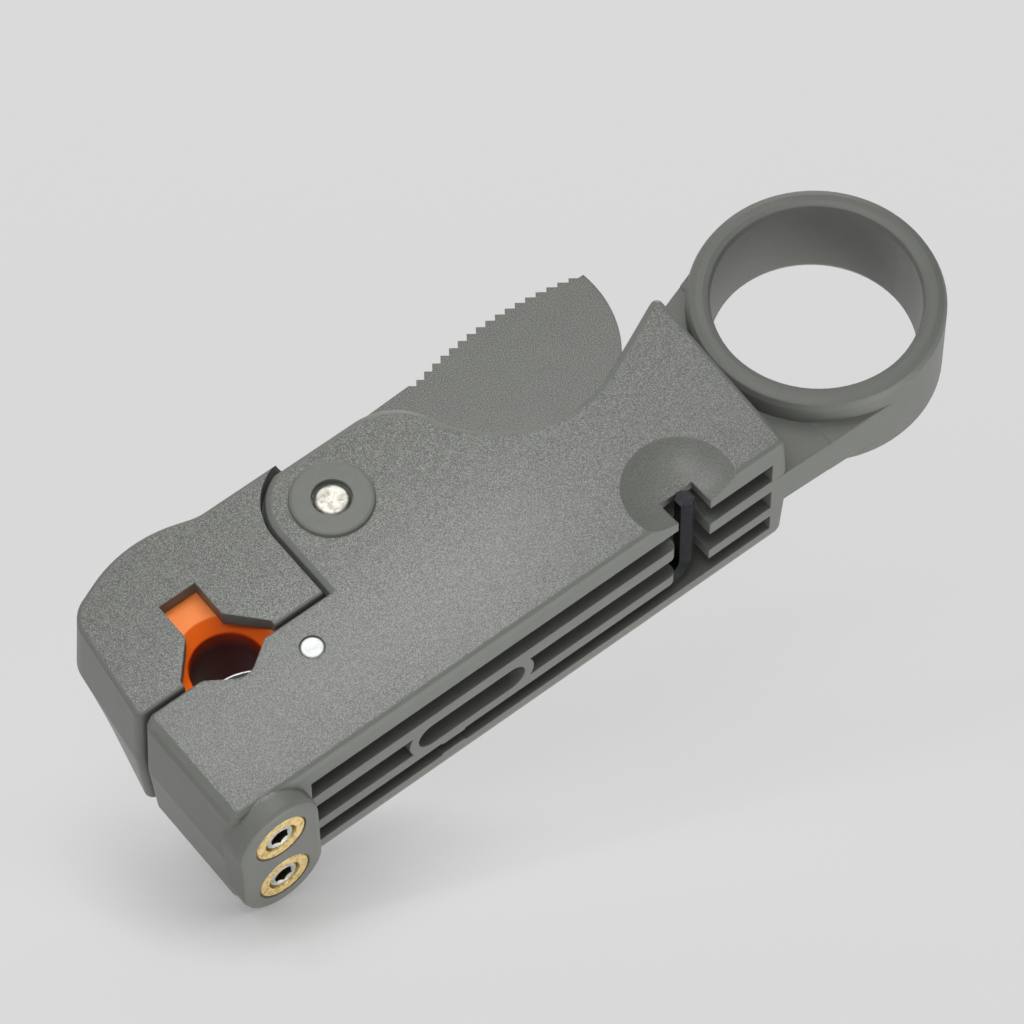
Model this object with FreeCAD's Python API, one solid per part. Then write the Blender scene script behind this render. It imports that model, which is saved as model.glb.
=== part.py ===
import FreeCAD, Part
import math
import os

Vector = FreeCAD.Vector
X_AXIS = Vector(1, 0, 0)
Y_AXIS = Vector(0, 1, 0)
Z_AXIS = Vector(0, 0, 1)

# Two-blade rotary stripper for coaxial cable, lying on its back. All sizes in millimetres.
# While it is modelled, x runs from the nose to the finger ring, y from the ribbed side up to
# the thumb lever and z from the back face to the front face. At the end everything is moved
# so that the origin lies under the middle of the whole tool.

# Body moulding
body_thickness = 19.0
body_length = 75.0
rear_lean = 1.0
rear_bulge = 0.8
front_bulge = 0.6
side_wall = 2.5
front_edge_radius = 1.1
lever_edge_radius = 0.9
plain_edge_radius = 0.6
parting_edge_radius = 0.35
front_corner_radius = 1.4
rear_corner_radius = 0.9
rounding_steps = 2

# Jaw, parting line and pivot
parting_y = 16.0
parting_gap = 0.3
pivot_x = 31.95
pivot_y = 24.75
ear_radius = 7.35
ear_round_share = 0.94
ear_top_y = 31.45
pivot_boss_radius = 4.75
pivot_boss_height = 0.6
pivot_boss_edge = 0.45
pivot_pin_radius = 2.05
pivot_recess_gap = 0.23
pivot_recess_depth = 0.9
pin_end_inset = 0.35
running_gap = 0.05
press_gap = 0.02

# Edge of the body walls beside the thumb lever: a crest, a dip and a straight rise
crest_radius = 7.5
dip_radius = 14.0
dip_x = 59.9
dip_y = 17.9
rise_angle = 25.0

# Jaw outline seen from the front
nose_front_x = -0.3
nose_lean = 1.75
nose_back_lean = 3.3
nose_corner_y = 30.6
nose_corner_radius = 4.2
nose_top_x = 11.3
nose_top_y = 34.8
nose_top_radius = 16.0
brow_x = 19.4
brow_radius = 6.0
jaw_top_y = 32.2
jaw_bulge = 0.7
jaw_edge_radius = 0.45
jaw_corner_radius = 0.9
cheek_wall = 2.0

# Window for the cable in both cheeks of the jaw
cable_x = 11.85
window_half_width = 5.97
window_sill = 0.9
throat_half_width = 2.4
throat_y = 20.87
throat_height = 4.8

# Exchangeable cable block inside the jaw
block_half_width = 7.0
block_height = 13.5
block_gap = 0.1
groove_radius = 4.25
groove_y = 16.8
groove_lead = 1.5
spare_groove_depth = 3.2
spare_groove_half_width = 3.0
block_edge = 0.4

# V notch of the body under the cable
notch_half_width = 4.8
notch_depth = 3.3
notch_radius = 2.4

# Thumb lever
lever_gap = 0.3
barrel_radius = 6.6
lever_top_y = 32.2
lever_under_y = 18.2
lever_end_x = 58.0
lever_end_y = 30.3
lever_end_radius = 14.4
lever_swing_gap = 0.35
tooth_count = 17
tooth_pitch = 1.333
tooth_first_x = 49.4
tooth_first_y = 32.6
tooth_crown_radius = 42.7
tooth_back_angle = 37.0

# Lever pocket in the body
pocket_floor_y = 7.4
pocket_front_x = 37.0

# Lever spring
spring_x = 44.0
spring_radius = 2.8
spring_wire = 0.8
spring_turns = 4.0
spring_turn_steps = 12
spring_seat_gap = 0.05
spring_post_gap = 0.4
spring_post_height = 2.0
spring_post_rib = 1.2

# Blades and their shared dowel
dowel_x = 19.3
dowel_y = 11.6
dowel_radius = 1.38
dowel_inset = 0.05
blade_spacing = 8.5
blade_thickness = 0.9
blade_side_gap = 0.2
blade_front_x = 2.2
blade_under_y = 8.3
blade_heel_y = 11.0
blade_tail_radius = 2.6
blade_edge_x = 11.2
blade_edge_y = 14.9
blade_edge_radius = 8.0
blade_edge_sweep = 45.0
blade_bevel = 0.35
blade_drop = 1.3
blade_end_gap = 0.5

# Adjusting screws in their brass inserts
screw_x = 4.4
screw_radius = 1.95
screw_end_bevel = 0.4
screw_sunk = 0.15
screw_tip_gap = 0.03
screw_tip_radius = 0.5
screw_tip_length = 1.3
screw_travel = 0.7
socket_width = 2.05
socket_depth = 2.2
insert_radius = 3.3
insert_length = 7.8
insert_sunk = 0.06
insert_bevel = 0.25
screw_boss_inset = 0.05
screw_boss_height = 2.34
screw_boss_edge = 0.7

# Ribbed side, listed from the back face to the front face
back_wall = 2.3
key_channel = 2.7
lower_rib = 1.7
middle_channel = 3.5
upper_rib = 2.1
upper_channel = 3.4
channel_depth = 5.0
channel_front_gap = 0.6
channel_end_wall = 1.8
loop_front_x = 23.1
loop_length = 16.9
loop_wall = 1.2
loop_hollow_radius = 1.95
clip_x = 27.4
clip_length = 3.1
clip_gap = 0.05
clip_depth = 1.0

# Hex key stowed in the lowest channel, with a thumb scoop over its short leg
key_width = 2.0
key_x = 62.2
key_y = 1.75
key_long_leg = 46.0
key_end_below_face = 1.15
key_bend_radius = 2.6
key_notch_width = 4.5
key_notch_depth = 3.3
key_notch_round = 1.0
scoop_y = 2.6
scoop_radius = 6.5
scoop_depth = 2.3

# Finger ring and its web
ring_gap = 1.5
ring_y = 13.95
ring_outer_radius = 14.5
ring_bore_radius = 11.8
ring_height = 12.5
ring_outer_edge = 1.1
ring_inner_edge = 0.9
web_thickness = 5.4
web_overlap = 1.4
web_top_drop = 0.6
web_step_x = 81.4
web_step = 0.2

# Levels and places that follow from the sizes above
mid_z = body_thickness / 2
key_channel_z = back_wall
lower_rib_z = key_channel_z + key_channel
middle_channel_z = lower_rib_z + lower_rib
upper_rib_z = middle_channel_z + middle_channel
upper_channel_z = upper_rib_z + upper_rib
front_wall_z = upper_channel_z + upper_channel
body_parting_y = parting_y - parting_gap / 2
jaw_parting_y = parting_y + parting_gap / 2
jaw_ear_radius = ear_radius + 1.3 * parting_gap
lever_back_z = side_wall + lever_gap
lever_front_z = body_thickness - lever_back_z
blade_levels = {"lower": mid_z - blade_spacing / 2, "upper": mid_z + blade_spacing / 2}
screw_boss_radius = mid_z - blade_spacing / 2 - screw_boss_inset
boss_face_y = -screw_boss_height
screw_outer_y = boss_face_y + screw_sunk
screw_tip_y = blade_under_y - screw_tip_gap
insert_outer_y = boss_face_y + insert_sunk
insert_inner_y = insert_outer_y + insert_length
channel_front_x = screw_x + screw_boss_radius + channel_front_gap
channel_rear_x = body_length - channel_end_wall
key_z = key_channel_z + key_channel / 2
key_corner_radius = key_width / math.sqrt(3)
key_end_z = body_thickness - key_end_below_face
block_bottom_y = jaw_parting_y + block_gap
block_top_y = block_bottom_y + block_height
ring_x = body_length + ring_gap + ring_outer_radius
swing_radius = math.hypot(lever_end_x - pivot_x, lever_end_y - pivot_y) + lever_end_radius


def box(x0, x1, y0, y1, z0, z1):
    return Part.makeBox(x1 - x0, y1 - y0, z1 - z0, Vector(x0, y0, z0))


def round_bar(start, axis, radius, length):
    return Part.makeCylinder(radius, length, start, axis)


def straight_or_nothing(start, end):
    if start.distanceToPoint(end) < 1e-4:
        return []
    return [Part.makeLine(start, end)]


def rounded_wire(corners, z):
    """Closed outline at height z through corners (x, y, radius), each rounded by its radius."""
    ends = []
    for index, (x, y, radius) in enumerate(corners):
        corner = Vector(x, y, z)
        back = Vector(*corners[index - 1][:2], z) - corner
        ahead = Vector(*corners[(index + 1) % len(corners)][:2], z) - corner
        back.normalize()
        ahead.normalize()
        if radius == 0:
            ends.append((corner, None, corner))
            continue
        half = math.acos(back.dot(ahead)) / 2
        to_middle = back + ahead
        to_middle.normalize()
        middle = corner + to_middle * (radius / math.sin(half) - radius)
        setback = radius / math.tan(half)
        ends.append((corner + back * setback, middle, corner + ahead * setback))
    edges = []
    for index, (start, middle, end) in enumerate(ends):
        edges += straight_or_nothing(ends[index - 1][2], start)
        if middle is not None:
            edges.append(Part.Arc(start, middle, end).toShape())
    return Part.Wire(edges)


def prism(corners, z0, z1):
    return Part.Face(rounded_wire(corners, z0)).extrude(Vector(0, 0, z1 - z0))


def grown(corners, amounts, insets):
    """The outline with edge i (from corner i to the next) moved outwards by amounts[i].

    The corner radii follow the insets of the rounded edges alone.
    """
    area = 0
    for index, (x, y, _) in enumerate(corners):
        next_x, next_y, _ = corners[(index + 1) % len(corners)]
        area += x * next_y - next_x * y
    turn = 1 if area > 0 else -1
    lines = []
    for index, (x, y, _) in enumerate(corners):
        next_x, next_y, _ = corners[(index + 1) % len(corners)]
        length = math.hypot(next_x - x, next_y - y)
        along = ((next_x - x) / length, (next_y - y) / length)
        shift = amounts[index] * turn
        lines.append((x + along[1] * shift, y - along[0] * shift, along))
    moved = []
    for index, (x, y, radius) in enumerate(corners):
        ax, ay, a = lines[index - 1]
        bx, by, b = lines[index]
        cross = a[0] * b[1] - a[1] * b[0]
        t = ((bx - ax) * b[1] - (by - ay) * b[0]) / cross
        bend = (insets[index - 1] + insets[index]) / 2 * (-1 if cross * turn > 0 else 1)
        new_radius = radius + bend if radius > 0 else 0
        moved.append((ax + a[0] * t, ay + a[1] * t, new_radius))
    return moved


def rounding_profile(steps=rounding_steps):
    """Height and inset, as shares of the radius, of a rounded edge drawn with short flats."""
    shares = []
    for step in range(steps + 1):
        angle = math.pi / 2 * step / steps
        shares.append((1 - math.cos(angle), 1 - math.sin(angle)))
    return shares


def moulded_block(front, bulges, radii, back=None):
    """Block between the two faces. Its walls bulge at the parting plane, its edges are rounded."""
    back = back or front
    reach = max(radii)
    lower = [(reach * rise, inset) for rise, inset in rounding_profile()]
    upper = [(body_thickness - height, inset) for height, inset in lower[::-1]]
    sections = []
    for height, inset in lower + [(mid_z, 0)] + upper:
        share = min(1.0, height / mid_z)
        corners = []
        for (x0, y0, r0), (x1, y1, r1) in zip(back, front):
            corners.append((x0 + (x1 - x0) * share, y0 + (y1 - y0) * share, r0 + (r1 - r0) * share))
        draft = 1 - abs(height - mid_z) / mid_z
        insets = [radius * inset for radius in radii]
        amounts = [bulge * draft - edge_inset for bulge, edge_inset in zip(bulges, insets)]
        sections.append(rounded_wire(grown(corners, amounts, insets), height))
    return Part.makeLoft(sections, True, True)


def turned(base, axis, profile):
    """Body of revolution about axis through base, from (radius, height) points."""
    side = Y_AXIS.cross(axis) if abs(axis.y) < 0.5 else X_AXIS
    points = [base + side * radius + axis * height for radius, height in profile + profile[:1]]
    return Part.Face(Part.makePolygon(points)).revolve(base, axis, 360)


def rounded_rim(radius, height, rounding, inwards=1, upwards=1, steps=rounding_steps):
    """Profile points from the wall to the end face round one rim of a turned piece."""
    points = []
    for rise, inset in rounding_profile(steps)[::-1]:
        points.append((radius - inwards * rounding * inset, height - upwards * rounding * rise))
    return points


def lever_side_corners():
    """Crest and dip corners of the body walls, and the height of the rise at the rear edge."""
    crest_y = ear_top_y - crest_radius
    dip_center_y = dip_y + dip_radius
    reach = crest_radius + dip_radius
    crest_x = dip_x - math.sqrt(reach**2 - (dip_center_y - crest_y)**2)
    slope = math.atan2(dip_center_y - crest_y, dip_x - crest_x)
    steep = (math.sin(slope), -math.cos(slope))
    touch_x = crest_x + crest_radius * math.cos(slope)
    touch_y = crest_y + crest_radius * math.sin(slope)
    to_top = (ear_top_y - touch_y) / steep[1]
    crest = (touch_x + steep[0] * to_top, ear_top_y, crest_radius)
    rise = math.radians(rise_angle)
    rise_x = dip_x + dip_radius * math.sin(rise)
    rise_y = dip_center_y - dip_radius * math.cos(rise)
    setback = dip_radius * math.tan((math.pi / 2 - slope + rise) / 2)
    dip = (rise_x - setback * math.cos(rise), rise_y - setback * math.sin(rise), dip_radius)
    rear_x = body_length + rear_lean
    peak = (rear_x, rise_y + (rear_x - rise_x) * math.tan(rise))
    return crest, dip, peak


def body_outline():
    crest, dip, peak = lever_side_corners()
    ear_angle = math.asin((ear_top_y - pivot_y) / ear_radius)
    ear_front_x = pivot_x - ear_radius
    ear_top_x = pivot_x - ear_radius * math.cos(ear_angle)
    ear_corner_y = pivot_y + ear_radius * math.tan(ear_angle / 2)
    return [
        (0, 0, front_corner_radius),
        (body_length, 0, rear_corner_radius),
        (peak[0], peak[1], rear_corner_radius),
        dip,
        crest,
        (ear_top_x, ear_top_y, 0),
        (ear_front_x, ear_corner_y, ear_round_share * ear_radius),
        (ear_front_x, body_parting_y, 0),
        (0, body_parting_y, front_corner_radius),
    ]


def finger_ring():
    low = 0
    high = ring_height
    profile = rounded_rim(ring_outer_radius, high, ring_outer_edge)
    profile += rounded_rim(ring_bore_radius, high, ring_inner_edge, inwards=-1)[::-1]
    profile += rounded_rim(ring_bore_radius, low, ring_inner_edge, inwards=-1, upwards=-1)
    profile += rounded_rim(ring_outer_radius, low, ring_outer_edge, upwards=-1)[::-1]
    return turned(Vector(ring_x, ring_y, mid_z - ring_height / 2), Z_AXIS, profile)


def web_corners(start_x, low_y):
    """Web outline from start_x to the ring, tangent to it above and level with its foot."""
    _, _, peak = lever_side_corners()
    root_x = body_length - web_overlap
    root_y = peak[1] - web_top_drop
    reach = math.hypot(ring_x - root_x, ring_y - root_y)
    angle = math.atan2(ring_y - root_y, ring_x - root_x) + math.asin(ring_outer_radius / reach)
    run = math.sqrt(reach**2 - ring_outer_radius**2)
    top_y = root_y + (start_x - root_x) * math.tan(angle)
    return [
        (start_x, low_y, 0),
        (ring_x, ring_y - ring_outer_radius, 0),
        (ring_x, ring_y, 0),
        (root_x + run * math.cos(angle), root_y + run * math.sin(angle), 0),
        (start_x, top_y, 0),
    ]


def finger_ring_with_web():
    """Ring on a thin web, with the low step that the mould leaves across the web."""
    half = web_thickness / 2
    web = prism(web_corners(body_length - web_overlap, 0), mid_z - half, mid_z + half)
    step = prism(web_corners(web_step_x, -web_step), mid_z - half - web_step,
                 mid_z + half + web_step)
    bore = round_bar(Vector(ring_x, ring_y, 0), Z_AXIS, ring_bore_radius, body_thickness)
    return finger_ring().fuse([web.cut(bore), step.cut(bore)])


def screw_boss():
    """Stadium-shaped boss round both inserts, rounded towards its outer face."""
    sections = []
    levels = [(-screw_boss_height + screw_boss_edge * rise, inset)
              for rise, inset in rounding_profile()]
    for height, inset in levels + [(1.0, 0)]:
        half = screw_boss_radius - screw_boss_edge * inset
        low = blade_levels["lower"] - half
        high = blade_levels["upper"] + half
        corners = [(screw_x - half, low, half), (screw_x + half, low, half),
                   (screw_x + half, high, half), (screw_x - half, high, half)]
        section = rounded_wire(corners, 0)
        section.rotate(Vector(0, 0, 0), X_AXIS, 90)
        section.translate(Vector(0, height, 0))
        sections.append(section)
    return Part.makeLoft(sections, True, True)


def lever_pocket():
    """Slot between the body walls for the lever, ended by the arc that the lever sweeps."""
    top_y = lever_end_y + lever_end_radius
    swing = round_bar(Vector(pivot_x, pivot_y, side_wall), Z_AXIS, swing_radius + lever_swing_gap,
                      body_thickness - 2 * side_wall)
    corners = [
        (pivot_x - jaw_ear_radius - 1.0, body_parting_y, 0),
        (pocket_front_x, body_parting_y, 1.0),
        (pocket_front_x, pocket_floor_y, 1.0),
        (body_length, pocket_floor_y, 0),
        (body_length, top_y, 0),
        (pivot_x - jaw_ear_radius - 1.0, top_y, 0),
    ]
    return prism(corners, side_wall, body_thickness - side_wall).common(swing)


def cable_notch():
    corners = [
        (cable_x - notch_half_width, parting_y, 0),
        (cable_x, parting_y - notch_depth, notch_radius),
        (cable_x + notch_half_width, parting_y, 0),
    ]
    return prism(corners, -1.0, body_thickness + 1.0)


def blade_slot(level):
    half = blade_thickness / 2 + blade_side_gap
    rear_x = dowel_x + blade_tail_radius + blade_end_gap
    return box(blade_front_x - blade_end_gap, rear_x, blade_under_y - blade_drop, parting_y + 1.0,
               level - half, level + half)


def screw_hole(level):
    wide = round_bar(Vector(screw_x, boss_face_y - 1.0, level), Y_AXIS, insert_radius + press_gap,
                     insert_inner_y - boss_face_y + 1.0)
    narrow = round_bar(Vector(screw_x, 0, level), Y_AXIS, screw_radius + 2 * running_gap,
                       screw_tip_y + 2 * screw_travel)
    return wide.fuse(narrow)


def side_channels():
    """Three long channels in the ribbed side, with the hollow loop that stands in the middle one."""
    cuts = []
    for z, height in ((key_channel_z, key_channel), (middle_channel_z, middle_channel),
                      (upper_channel_z, upper_channel)):
        cuts.append(box(channel_front_x, channel_rear_x, -1.0, channel_depth, z, z + height))
    loop_z = middle_channel_z + middle_channel / 2
    outer_radius = loop_hollow_radius + loop_wall
    first_x = loop_front_x + outer_radius
    last_x = loop_front_x + loop_length - outer_radius
    loop = lying_stadium(first_x, last_x, loop_z, outer_radius, channel_depth)
    hollow = lying_stadium(first_x, last_x, loop_z, loop_hollow_radius, channel_depth)
    cuts[1] = cuts[1].cut(loop)
    return cuts + [hollow]


def lying_stadium(x_first, x_last, z, radius, depth):
    ends = [round_bar(Vector(x, -1.0, z), Y_AXIS, radius, depth + 1.0) for x in (x_first, x_last)]
    middle = box(x_first, x_last, -1.0, depth, z - radius, z + radius)
    return ends[0].fuse([ends[1], middle]).removeSplitter()


def key_clip():
    """Two low bumps that pinch the key's long leg in its channel."""
    low_top = key_z - key_width / 2 - clip_gap
    high_bottom = key_z + key_width / 2 + clip_gap
    low = box(clip_x, clip_x + clip_length, 0, clip_depth, key_channel_z - 0.2, low_top)
    high = box(clip_x, clip_x + clip_length, 0, clip_depth, high_bottom, lower_rib_z + 0.2)
    return low, high


def thumb_scoop():
    sphere_radius = (scoop_radius**2 + scoop_depth**2) / (2 * scoop_depth)
    return Part.makeSphere(sphere_radius, Vector(key_x, scoop_y,
                                                 body_thickness - scoop_depth + sphere_radius))


def key_notch():
    """Cut for the short leg: through the ribs with a rounded lip, and through the front wall."""
    front_x = key_x - key_notch_width / 2
    rear_x = key_x + key_notch_width / 2
    ribs = prism([
        (front_x - key_notch_round, -1.0, 0),
        (rear_x, -1.0, 0),
        (rear_x, key_notch_depth, 0),
        (front_x, key_notch_depth, 0),
        (front_x, 0, key_notch_round),
        (front_x - key_notch_round, 0, 0),
    ], key_channel_z, front_wall_z)
    wall = box(front_x, rear_x, -1.0, key_notch_depth, front_wall_z - 1.0, body_thickness + 1.0)
    return ribs, wall


def spring_post(start_y, direction):
    """Cross-shaped post that keeps one end of the spring in its place."""
    reach = spring_radius - spring_wire / 2 - spring_post_gap
    half = spring_post_rib / 2
    low_y = min(start_y, start_y + direction * spring_post_height)
    high_y = low_y + spring_post_height
    along = box(spring_x - reach, spring_x + reach, low_y, high_y, mid_z - half, mid_z + half)
    across = box(spring_x - half, spring_x + half, low_y, high_y, mid_z - reach, mid_z + reach)
    return along.fuse(across)


def main_body():
    bulges = [0, rear_bulge, 0, 0, 0, 0, 0, 0, front_bulge]
    radii = [plain_edge_radius] * 2 + [lever_edge_radius] * 5
    radii += [parting_edge_radius, front_edge_radius]
    body = moulded_block(body_outline(), bulges, radii)
    pivot_boss = turned(Vector(pivot_x, pivot_y, body_thickness), Z_AXIS, [
        (0, -0.5), (pivot_boss_radius, -0.5),
        *rounded_rim(pivot_boss_radius, pivot_boss_height, pivot_boss_edge),
        (0, pivot_boss_height)])
    body = body.cut([lever_pocket(), cable_notch()] + side_channels())
    body = body.fuse([finger_ring_with_web(), screw_boss(), pivot_boss, *key_clip(),
                      spring_post(pocket_floor_y, 1)])
    boss_top_z = body_thickness + pivot_boss_height
    holes = [
        round_bar(Vector(pivot_x, pivot_y, -1.0), Z_AXIS, pivot_pin_radius + press_gap,
                  body_thickness + 3.0),
        round_bar(Vector(pivot_x, pivot_y, boss_top_z - pivot_recess_depth), Z_AXIS,
                  pivot_pin_radius + pivot_recess_gap, pivot_recess_depth + 1.0),
        round_bar(Vector(dowel_x, dowel_y, -1.0), Z_AXIS, dowel_radius + press_gap,
                  body_thickness + 2.0),
        thumb_scoop(),
        *key_notch(),
    ]
    for level in blade_levels.values():
        holes += [blade_slot(level), screw_hole(level)]
    return body.cut(holes).removeSplitter()


def jaw_outline(lean):
    rear_x = pivot_x + 2.0
    return [
        (nose_front_x, jaw_parting_y, jaw_corner_radius),
        (rear_x, jaw_parting_y, 0),
        (rear_x, jaw_top_y, 0),
        (brow_x, jaw_top_y, brow_radius),
        (nose_top_x, nose_top_y, nose_top_radius),
        (nose_front_x + lean, nose_corner_y, nose_corner_radius),
    ]


def jaw_head():
    """Full-thickness front of the jaw, cut back from the body's ear and front block."""
    bulges = [0, 0, jaw_bulge, jaw_bulge, jaw_bulge, front_bulge]
    radii = [parting_edge_radius, 0] + [jaw_edge_radius] * 4
    head = moulded_block(jaw_outline(nose_lean), bulges, radii, jaw_outline(nose_back_lean))
    ear_front_x = pivot_x - jaw_ear_radius
    return head.cut([
        round_bar(Vector(pivot_x, pivot_y, -1.0), Z_AXIS, jaw_ear_radius, body_thickness + 2.0),
        box(ear_front_x, pivot_x + 3.0, parting_y - 1.0, pivot_y, -1.0, body_thickness + 1.0),
        box(pivot_x, pivot_x + 3.0, parting_y, jaw_top_y + 3.0, -1.0, body_thickness + 1.0),
    ])


def cable_window():
    """Square throat with flared sides, open towards the body, through both cheeks."""
    sill_y = parting_y + window_sill
    low_y = parting_y - 1.0
    corners = [
        (cable_x - window_half_width, low_y, 0),
        (cable_x + window_half_width, low_y, 0),
        (cable_x + window_half_width, sill_y, 0),
        (cable_x + throat_half_width, throat_y, 0),
        (cable_x + throat_half_width, throat_y + throat_height, 0),
        (cable_x - throat_half_width, throat_y + throat_height, 0),
        (cable_x - throat_half_width, throat_y, 0),
        (cable_x - window_half_width, sill_y, 0),
    ]
    return prism(corners, -1.0, body_thickness + 1.0)


def tooth_points():
    """Saw-tooth edge along a shallow crown, from the front tooth to the lever's tip."""
    half_span = tooth_pitch * (tooth_count - 1) / 2
    crown_x = tooth_first_x + half_span
    crown_y = tooth_first_y - math.sqrt(tooth_crown_radius**2 - half_span**2)
    tips = []
    for index in range(tooth_count):
        x = tooth_first_x + index * tooth_pitch
        y = crown_y + math.sqrt(tooth_crown_radius**2 - (x - crown_x)**2)
        tips.append(Vector(x, y, 0))
    back = math.radians(tooth_back_angle)
    fall = Vector(math.cos(back), -math.sin(back), 0)
    rise = Vector(math.sin(back), math.cos(back), 0)
    step = tooth_pitch * math.sin(back)
    points = [tips[0] - rise * step, tips[0]]
    for tip, next_tip in zip(tips, tips[1:]):
        points.append(tip + fall * (next_tip - tip).dot(fall))
        points.append(next_tip)
    return points + [tips[-1] + fall * tooth_pitch * math.cos(back)]


def lever_wire():
    points = tooth_points()
    tip = points[-1]
    center = Vector(lever_end_x, lever_end_y, 0)
    tip_angle = math.acos(min(1.0, (tip.y - lever_end_y) / lever_end_radius))
    tip_on_arc = center + Vector(math.sin(tip_angle), math.cos(tip_angle), 0) * lever_end_radius
    low_angle = math.acos((lever_end_y - lever_under_y) / lever_end_radius)
    low = center + Vector(-math.sin(low_angle), -math.cos(low_angle), 0) * lever_end_radius
    middle = center + Vector(math.sin(low_angle), -math.cos(low_angle), 0) * lever_end_radius
    root_under = Vector(pivot_x, lever_under_y, 0)
    root_top = Vector(pivot_x, lever_top_y - parting_gap, 0)
    ramp_end = Vector(points[0].x - tooth_pitch / 2, lever_top_y + parting_gap, 0)
    edges = [Part.makeLine(root_under, low), Part.Arc(low, middle, tip_on_arc).toShape()]
    path = [tip_on_arc] + points[::-1] + [ramp_end, root_top, root_under]
    for start, end in zip(path, path[1:]):
        edges += straight_or_nothing(start, end)
    return Part.Wire(edges)


def thumb_lever():
    plate = Part.Face(lever_wire()).extrude(Vector(0, 0, lever_front_z - lever_back_z))
    plate.translate(Vector(0, 0, lever_back_z))
    barrel = round_bar(Vector(pivot_x, pivot_y, lever_back_z), Z_AXIS, barrel_radius,
                       lever_front_z - lever_back_z)
    neck_front_x = pivot_x - jaw_ear_radius - 2.0
    neck = prism([
        (neck_front_x, jaw_parting_y + 1.0, 0),
        (pivot_x - jaw_ear_radius, jaw_parting_y + 1.0, 0),
        (pivot_x, pivot_y - barrel_radius, 0),
        (pivot_x, pivot_y + barrel_radius, 0),
        (neck_front_x, pivot_y + barrel_radius, 0),
    ], lever_back_z, lever_front_z)
    return plate.fuse([barrel, neck, spring_post(lever_under_y, -1)])


def block_pocket():
    half = block_half_width + block_gap
    return box(cable_x - half, cable_x + half, parting_y - 1.0, block_top_y + block_gap,
               cheek_wall, body_thickness - cheek_wall)


def clamp_jaw():
    jaw = jaw_head().fuse(thumb_lever())
    bore = round_bar(Vector(pivot_x, pivot_y, -1.0), Z_AXIS, pivot_pin_radius + running_gap,
                     body_thickness + 2.0)
    return jaw.cut([bore, block_pocket(), cable_window()]).removeSplitter()


def cable_block():
    """Loose block with a half-round groove below and a smaller V groove on the spare side."""
    back_z = cheek_wall + block_gap
    front_z = body_thickness - cheek_wall - block_gap
    block = box(cable_x - block_half_width, cable_x + block_half_width, block_bottom_y,
                block_top_y, back_z, front_z)
    upright = [edge for edge in block.Edges if edge.BoundBox.ZLength > 1.0]
    block = block.makeChamfer(block_edge, upright)
    depth = front_z - back_z
    groove = round_bar(Vector(cable_x, groove_y, back_z - 1.0), Z_AXIS, groove_radius, depth + 2.0)
    mouth = box(cable_x - groove_radius, cable_x + groove_radius, block_bottom_y - 1.0, groove_y,
                back_z - 1.0, front_z + 1.0)
    spare = prism([
        (cable_x - spare_groove_half_width, block_top_y + 1e-3, 0),
        (cable_x, block_top_y - spare_groove_depth, 0.8),
        (cable_x + spare_groove_half_width, block_top_y + 1e-3, 0),
    ], back_z - 1.0, front_z + 1.0)
    cuts = [groove, mouth, spare]
    for z, direction in ((front_z, -1), (back_z, 1)):
        cuts.append(Part.makeCone(groove_radius + groove_lead, groove_radius, groove_lead,
                                  Vector(cable_x, groove_y, z), Z_AXIS * direction))
    return block.cut(cuts).removeSplitter()


def plain_pin(x, y, low, high, radius, rounding):
    profile = [(0, low), *rounded_rim(radius, low, rounding, upwards=-1, steps=1)[::-1],
               *rounded_rim(radius, high, rounding, steps=1), (0, high)]
    return turned(Vector(x, y, 0), Z_AXIS, profile)


def pivot_pin():
    return plain_pin(pivot_x, pivot_y, pin_end_inset,
                     body_thickness + pivot_boss_height - pin_end_inset, pivot_pin_radius,
                     pin_end_inset)


def blade_dowel():
    return plain_pin(dowel_x, dowel_y, dowel_inset, body_thickness - dowel_inset, dowel_radius,
                     4 * dowel_inset)


def blade(level):
    """Plate that pivots on the dowel, with a round cutting edge and a flat over its screw."""
    sweep = math.radians(blade_edge_sweep)
    center_y = blade_edge_y - blade_edge_radius
    side = blade_edge_radius * math.sin(sweep)
    shoulder_y = center_y + blade_edge_radius * math.cos(sweep)
    z = level - blade_thickness / 2
    front = Vector(blade_edge_x - side, shoulder_y, z)
    top = Vector(blade_edge_x, blade_edge_y, z)
    rear = Vector(blade_edge_x + side, shoulder_y, z)
    tail_top = Vector(dowel_x, dowel_y + blade_tail_radius, z)
    tail_end = Vector(dowel_x + blade_tail_radius, dowel_y, z)
    tail_low = Vector(dowel_x, dowel_y - blade_tail_radius, z)
    pad_rear = Vector(2 * screw_x - blade_front_x, blade_under_y, z)
    pad_front = Vector(blade_front_x, blade_under_y, z)
    heel = Vector(blade_front_x, blade_heel_y, z)
    edges = [Part.Arc(front, top, rear).toShape(), Part.makeLine(rear, tail_top),
             Part.Arc(tail_top, tail_end, tail_low).toShape(), Part.makeLine(tail_low, pad_rear),
             Part.makeLine(pad_rear, pad_front), Part.makeLine(pad_front, heel),
             Part.makeLine(heel, front)]
    plate = Part.Face(Part.Wire(edges)).extrude(Vector(0, 0, blade_thickness))
    center = Vector(blade_edge_x, center_y, z)
    half = blade_thickness / 2
    lower_cone = Part.makeCone(blade_edge_radius - blade_bevel, blade_edge_radius, half, center)
    upper_cone = Part.makeCone(blade_edge_radius, blade_edge_radius - blade_bevel, half,
                               center + Vector(0, 0, half))
    ground = box(front.x, rear.x, shoulder_y, blade_edge_y + 1.0, z, z + blade_thickness)
    plate = plate.cut(ground.cut([lower_cone, upper_cone]))
    return plate.cut(round_bar(Vector(dowel_x, dowel_y, z - 1.0), Z_AXIS,
                               dowel_radius + running_gap, blade_thickness + 2.0))


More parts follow.
